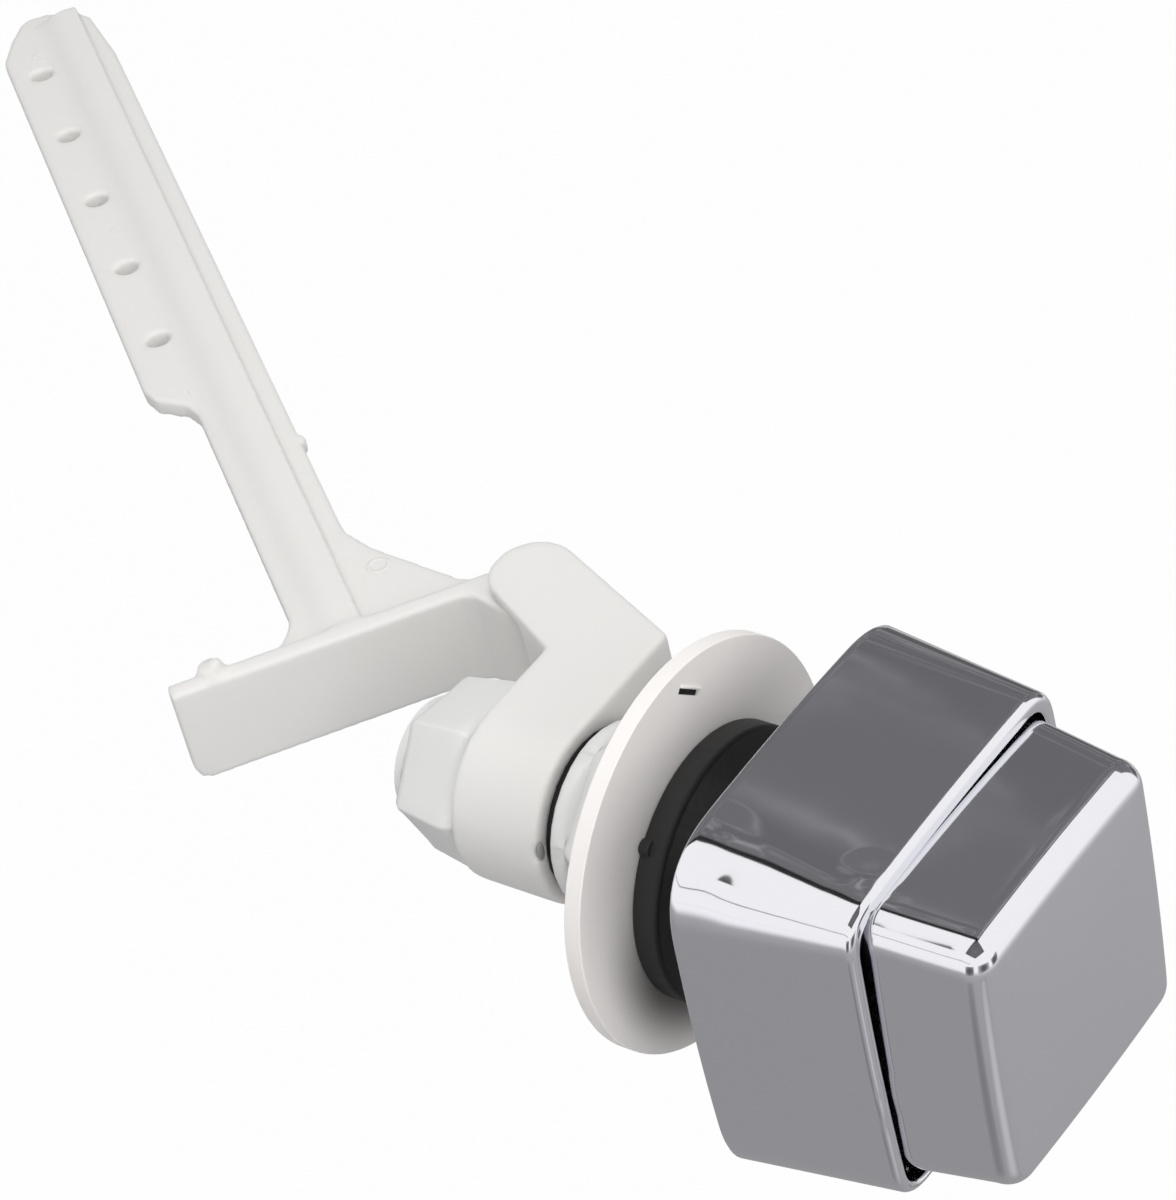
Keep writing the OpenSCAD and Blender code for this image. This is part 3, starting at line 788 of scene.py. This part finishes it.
def slab(outline, low, high, holes=(), place=flat_on):
    """A flat closed shape between two levels, with round holes through it."""
    loops = [outline] + [hole[::-1] for hole in holes]
    spots = [spot for loop in loops for spot in loop]
    count = len(spots)
    lids = tessellate_polygon([[Vector((a, b, 0)) for a, b in loop] for loop in loops])
    points = [place(a, b, h) for h in (low, high) for a, b in spots]
    faces = [tuple(lid[::-1]) for lid in lids] + [tuple(i + count for i in lid) for lid in lids]
    first = 0
    for loop in loops:
        n = len(loop)
        faces += [(first + i, first + (i + 1) % n, first + (i + 1) % n + count, first + i + count)
                  for i in range(n)]
        first += n
    return points, faces


def turn_faces_out(mesh, fill_holes=False):
    work = bmesh.new()
    work.from_mesh(mesh)
    if fill_holes:
        bmesh.ops.holes_fill(work, edges=work.edges)
    bmesh.ops.recalc_face_normals(work, faces=work.faces)
    work.to_mesh(mesh)
    work.free()


print("a slab with one hole has", len(slab(disc((0, 0), 3), 0, 1, [disc((0, 0), 1)])[1]), "faces")

# %% [markdown]
# The arm steps from narrow to wide, has a chamfered tip and five chain holes, and widens at
# its root into a gusset. The rib runs along the plate's top with one sloping shoulder, and
# the keel below it deepens towards the root. The cross wall is what the push rod meets.

# %% Lever outlines
PLATE_LOW, PLATE_TOP, WALL_LOW, WALL_TOP = 3.6, 5.6, -3.7, 7.1
ARM_START, ARM_END, NEAR, MID, FAR, WIDE = 3.1, 144.9, 14.2, 22.8, 27.1, 57.0
RIB_NEAR, RIB_FAR, RIB_TOP = 16.4, 19.8, 6.9
WALL_FRONT, WALL_REAR, WALL_END = 2.6, 4.8, 36.2
ROOT_R = 7
hole_spots = [(130.1 - 16.1 * i, 23.45) for i in range(5)]

arm_outline = [
    (ARM_START, NEAR), (ARM_END - 15, NEAR), (ARM_END - 4.2, RIB_NEAR - 1.2),
    (ARM_END - 2.2, RIB_NEAR + 0.8), (ARM_END - 0.4, RIB_FAR), (ARM_END - 0.2, RIB_FAR + 2.4),
    (ARM_END - 1, 23.4), (ARM_END - 4.6, 25.4), (ARM_END - 9, FAR), (WIDE, FAR),
    (WIDE - 2.4, FAR - 0.7), (51.8, MID + 0.8), (49.4, MID), (ARM_START, MID)]
gusset_outline = [
    (ARM_START, 3.6), (5.8, 3.6), (7.4, 6), (17, 12.4), (21, NEAR - 0.1), (26, NEAR + 0.1),
    (26, 15.2), (ARM_START, 15.2)]
arcs = [math.radians(180 + 90 * i / 8) for i in range(9)]
root_outline = [(4.7, MID - 0.1), (4.7, MID - 0.1 + ROOT_R)]
root_outline += [(4.7 + ROOT_R * (1 + math.cos(a)), MID - 0.1 + ROOT_R * (1 + math.sin(a)))
                 for a in arcs[1:]]
root_outline.append((4.7 + ROOT_R, MID - 0.1))
rib_section = [(RIB_NEAR, PLATE_LOW), (RIB_NEAR, RIB_TOP), (RIB_FAR - 1.0, RIB_TOP)]
rib_section += [(RIB_FAR - 1.0 + 3.1 * t, RIB_TOP - 1.2 * t * t * (3 - 2 * t))
                for t in (0.25, 0.5, 0.75, 1)]
rib_section.append((RIB_FAR + 2.1, PLATE_LOW))
keel_outline = [(ARM_START, -1.0), (WIDE, 0.84), (139, 2.6), (139, 4.1), (ARM_START, 4.1)]
wall_outline = [(3.4, WALL_LOW), (WALL_END - 1.5, WALL_LOW), (WALL_END - 0.44, WALL_LOW + 0.44),
                (WALL_END, WALL_LOW + 1.5), (WALL_END, WALL_TOP), (3.4, WALL_TOP)]
knuckle_outline = [(-1.5, 4.1), (2.0, 5.8), (2.6, 7), (WALL_REAR, 8), (WALL_REAR, 3.4), (3.2, -3)]
print("the arm is", ARM_END, "mm long and has", len(hole_spots), "chain holes")

# %% [markdown]
# All slabs of the lever go into one mesh, still overlapping. The net is 0.3 mm wide, fine
# enough for the chain holes, and what it doesn't need on flat stretches is thinned out. The
# small discs are the nub on the cross wall and the gate mark on the arm's edge.

# %% Lever
PIVOT = Vector((18.2, 41.5, 0))
LEVER_TURN = Matrix.Rotation(math.radians(52.5), 4, "Z")
LEVER_NET, LEVER_PASSES, LEVER_KEEP = 0.3, 8, 0.45
PIN_HOLE = disc((0, 0), 2.08)


def on_lever(spot):
    """Takes a point from the lever's own frame into the part's, in mm."""
    return PIVOT + LEVER_TURN @ spot


lever_slabs = [
    slab(arm_outline, PLATE_LOW, PLATE_TOP, [disc(spot, 1.3) for spot in hole_spots]),
    slab(gusset_outline, PLATE_LOW, PLATE_TOP), slab(root_outline, PLATE_LOW, PLATE_TOP),
    slab(rib_section, ARM_START, ARM_END - 3.2, place=on_edge),
    slab(keel_outline, RIB_NEAR, RIB_FAR, place=on_side),
    slab(wall_outline, WALL_FRONT, WALL_REAR, place=on_edge),
    slab(knuckle_outline, WALL_LOW, WALL_TOP),
    slab(disc((0, 0), 4.4, 40), WALL_LOW, WALL_TOP, [PIN_HOLE]),
    slab(disc((4.4, 31.7), 1.3), 0, WALL_TOP + 0.85), slab(disc((4.2, 31.2), 0.6), 0, WALL_TOP + 1.3),
    slab(disc((39, 14.4), 0.8), PLATE_LOW, PLATE_TOP),
]
points, faces = [], []
for slab_points, slab_faces in lever_slabs:
    faces += [tuple(i + len(points) for i in face) for face in slab_faces]
    points += [on_lever(p) for p in slab_points]
lever = new_piece("lever_moulding", points, faces, white_plastic, "lever", smooth=False)
turn_faces_out(lever.data)
wrap_in_net(lever, LEVER_NET, LEVER_PASSES)
thin = lever.modifiers.new("thin", "DECIMATE")
thin.ratio = LEVER_KEEP
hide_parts("lever")
print("the lever is laid out from", len(lever_slabs), "slabs")

# %% [markdown]
# Ejector pins leave faint round rings where they pushed the moulding out of its mould. Each
# ring here is a low closed ridge, a few hundredths of a millimetre high.

# %% Ejector rings
RING_SPOTS = ((134.3, 22.6), (89.8, 22.3), (53.7, 21.6), (13.6, 12.6))
RING_R, RING_HALF, RING_HEIGHT, RING_ROOT, RING_STEPS = 1.0, 0.25, 0.022, 0.15, 36
ridge = [(-RING_HALF, -RING_ROOT), (RING_HALF, -RING_ROOT), (RING_HALF, 0.0),
         (RING_HALF / 2, RING_HEIGHT), (-RING_HALF / 2, RING_HEIGHT), (-RING_HALF, 0.0)]


def joined(first, second, count):
    """Faces between two runs of points, each of which goes once around."""
    return [(first + k, second + k, second + (k + 1) % count, first + (k + 1) % count)
            for k in range(count)]


points, faces = [], []
for x, y in RING_SPOTS:
    first, n = len(points), len(ridge)
    for i in range(RING_STEPS):
        a = 2 * math.pi * i / RING_STEPS
        points += [on_lever(Vector((x + (RING_R + out) * math.cos(a), y + (RING_R + out) * math.sin(a),
                                    PLATE_TOP + rise))) for out, rise in ridge]
        faces += joined(first + i * n, first + (i + 1) % RING_STEPS * n, n)
rings = new_piece("ejector_rings", points, faces, white_plastic, "lever")

# %% [markdown]
# The rear nut is a hexagon that tapers a little to the rear, with softened corners and a
# shallow chamfer at both ends. It is lofted from six-sided rings around the barrel: first
# the outside from front to rear, then the bore from rear to front.

# %% Bracket nut
# Degrees between the points of a rounded corner, and how far a flat lies inside the corners
CORNER_STEP, FLAT_INSET = 13.5, 0.08


def hex_ring(reach, y, corner, turn):
    """A hexagon with rounded corners. Reach is the distance of its corners in mm."""
    inner = reach - corner * 2 / math.sqrt(3)
    flat = reach - FLAT_INSET
    ring = []
    for side in range(6):
        here = math.radians(turn + 60 * side)
        there = here + math.pi / 3
        for i in range(-2, 3):
            a = here + math.radians(i * CORNER_STEP)
            ring.append(Vector((inner * math.cos(here) + corner * math.cos(a), y,
                                inner * math.sin(here) + corner * math.sin(a))))
        for t in (0.2, 0.4, 0.6, 0.8):
            ring.append(Vector((flat * between(math.cos(here), math.cos(there), t), y,
                                flat * between(math.sin(here), math.sin(there), t))))
    return ring


def nut_rings(outside, bore, corner, turn):
    """The rings of a nut from pairs of size and depth in mm."""
    rings = [hex_ring(reach, y, corner, turn) for reach, y in outside]
    return rings + [circle_ring(radius, y, rings[0]) for radius, y in bore]


rear_rings = nut_rings(
    [(8.2, 33.57), (8.35, 33.62), (8.85, 34.0), (9.12, 34.5), (9.2, 35.0), (9.17, 35.4),
     (8.75, 38), (8.42, 40.1), (8.3, 40.4), (7.75, 41.0), (7.45, 41.15)],
    [(6.6, 41.15), (6.3, 41.0), (6.06, 40.6), (6.06, 33.8), (6.3, 33.57)], corner=0.5, turn=52)
rear_nut = loft("rear_nut", rear_rings, grey_plastic, "mounting")
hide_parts("bracket_nut")

# %% [markdown]
# The lock nut is a wider hexagon. Its rear chamfer runs down to a round shoulder that
# reaches back almost to the bracket, and a narrower collar bears on the bracket's eye. What
# is left between shoulder and eye is the thin gap that the photo shows as a dark line.

# %% Lock nut
lock_rings = nut_rings(
    [(10.3, 12.52), (10.5, 12.6), (11.0, 13.1), (11.15, 13.5), (11.1, 17.6), (10.95, 18.1),
     (10.1, 19.4), (9.35, 20.4), (9.2, 20.5)],
    [(8.95, 20.6), (8.85, 22.1), (8.6, 22.4), (7.6, 22.45), (7.45, 22.5), (7.45, 23.2),
     (7.25, 23.4), (6.2, 23.4), (6.06, 23.2), (6.06, 12.8), (6.3, 12.52)], corner=0.6, turn=40)
lock_nut = loft("front_nut", lock_rings, grey_plastic, "mounting")
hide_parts("lock_nut")

# %% [markdown]
# Two pieces of painted shade sit beside the bracket's eye. The gap before the eye lies in deep shade,
# so a thin black ring on the nut's collar paints that shade. A grey oval paints the shade in a shallow
# dent on the eye's front face near the edge, a gate scar where the moulding was cut from its sprue.
# The oval is a flat egg that is more than half sunk into the face.

# %% Painted shade: collar ring and gate scar
SCAR_AT, SCAR_SIZE = Vector((-8.35, 23.55, 1.8)), Vector((0.5, 0.16, 0.95))

# A black ring that paints the shade in the gap before the eye
gap_shade_loops = [circle_ring(radius, y, lock_rings[0]) for radius, y in (
    (7.3, 22.55), (8.0, 22.55), (8.05, 22.6), (8.05, 23.25), (8.0, 23.3), (7.3, 23.3))]
gap_shade_ring = loft("gap_shade_ring", gap_shade_loops, painted_shade_black, "mounting")

scar_rings = []
for i in range(1, 8):
    a = math.pi * i / 8
    across, deep, along = math.sin(a), -math.cos(a), math.sin(a)
    scar_rings.append([
        SCAR_AT + Vector((SCAR_SIZE.x * across * math.cos(b), SCAR_SIZE.y * deep,
                          SCAR_SIZE.z * along * math.sin(b)))
        for b in (2 * math.pi * k / 24 for k in range(24))])
tip = SCAR_AT - Vector((0, SCAR_SIZE.y, 0))
scar_rings.insert(0, [tip + (p - SCAR_AT) * 0.02 for p in scar_rings[0]])
# The grey oval paints the shade of the dent.
scar = loft("gate_scar", scar_rings, dent_shade_grey, "mounting", closed=False)
turn_faces_out(scar.data, fill_holes=True)

# %% [markdown]
# The washer has a narrow slot near its top. Light hardly reaches its floor, so a small black slab
# closes it from behind, just under the front face, as painted shade.

# %% Washer slot and its painted shade
SLOT_AT, SLOT_TURN = (1.8, 16.72), math.radians(-41)
SLOT_HALF_LENGTH, SLOT_HALF_WIDTH, SLOT_FRONT, SLOT_REAR = 1.58, 0.28, 11.1, 12.4


def in_slot(a, b, h):
    c, s = math.cos(SLOT_TURN), math.sin(SLOT_TURN)
    return Vector((SLOT_AT[0] + a * c - b * s, h, SLOT_AT[1] + a * s + b * c))


slot_outline = [(-SLOT_HALF_LENGTH, -SLOT_HALF_WIDTH), (SLOT_HALF_LENGTH, -SLOT_HALF_WIDTH),
                (SLOT_HALF_LENGTH, SLOT_HALF_WIDTH), (-SLOT_HALF_LENGTH, SLOT_HALF_WIDTH)]
points, faces = slab(slot_outline, SLOT_FRONT, SLOT_REAR, place=in_slot)
# Painted shade: a black slab inside the slot
slot_shade_plug = new_piece("slot_shade_plug", points, [face[::-1] for face in faces], painted_shade_black,
                       "mounting", smooth=False)

# %% [markdown]
# The barrel is threaded. The solid carries a plain cylinder, so a helical ridge is laid on
# the stretch that can be seen from the side, between the housing and the lock nut. The
# ridge fades in and out over a quarter of a turn, as a cut thread does.

# %% Barrel thread
THREAD_START, THREAD_END, PITCH = 0.7, 11.8, 1.5
ROOT_RADIUS, CREST_HEIGHT = 5.9, 0.45
ROOT_SHIFT, CREST_SHIFT = 0.6, 0.12
THREAD_STEPS, FADE_STEPS = 48, 12

points, faces = [], []
steps = int((THREAD_END - THREAD_START) / PITCH * THREAD_STEPS)
for i in range(steps + 1):
    a = 2 * math.pi * i / THREAD_STEPS
    y = THREAD_START + PITCH * i / THREAD_STEPS
    crest = ROOT_RADIUS + CREST_HEIGHT * min(1, i / FADE_STEPS, (steps - i) / FADE_STEPS)
    for r, shift in ((ROOT_RADIUS, -ROOT_SHIFT), (crest, -CREST_SHIFT), (crest, CREST_SHIFT),
                     (ROOT_RADIUS, ROOT_SHIFT)):
        points.append(Vector((r * math.cos(a), y + shift, r * math.sin(a))))
    if i:
        here, there = (i - 1) * 4, i * 4
        faces += [(here + k, here + (k + 1) % 4, there + (k + 1) % 4, there + k) for k in range(4)]
last = steps * 4
faces += [(3, 2, 1, 0), (last, last + 1, last + 2, last + 3)]
barrel_thread = new_piece("barrel_thread", points, faces, grey_plastic, "mounting")

# %% [markdown]
# The return spring is round steel wire. The solid has eight flat sides, so a finer tube is
# swept along the same coil and takes its place. Its end turns lie closer, as ground ends do.

# %% Return spring
SPRING_R, WIRE_R, TURNS = 6.6, 0.48, 5
SPRING_FRONT, SPRING_REAR = -22.4, -7.7
COIL_STEPS, WIRE_SIDES = 40, 10


def coil_point(turn):
    t = turn / TURNS
    eased = t * t * (3 - 2 * t)
    y = SPRING_FRONT + (SPRING_REAR - SPRING_FRONT) * (0.4 * eased + 0.6 * t)
    a = 2 * math.pi * turn
    return Vector((SPRING_R * math.cos(a), y, SPRING_R * math.sin(a)))


points, faces = [], []
for step in range(TURNS * COIL_STEPS + 1):
    middle = coil_point(step / COIL_STEPS)
    out = Vector((middle.x, 0, middle.z)).normalized()
    for k in range(WIRE_SIDES):
        a = 2 * math.pi * k / WIRE_SIDES
        points.append(middle + (out * math.cos(a) + Vector((0, math.sin(a), 0))) * WIRE_R)
    if step:
        faces += joined((step - 1) * WIRE_SIDES, step * WIRE_SIDES, WIRE_SIDES)
faces += [tuple(range(WIRE_SIDES - 1, -1, -1)), tuple(range(len(points) - WIRE_SIDES, len(points)))]
spring = new_piece("spring_wire", points, faces, steel, "mounting")
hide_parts("return_spring")
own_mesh(spring)
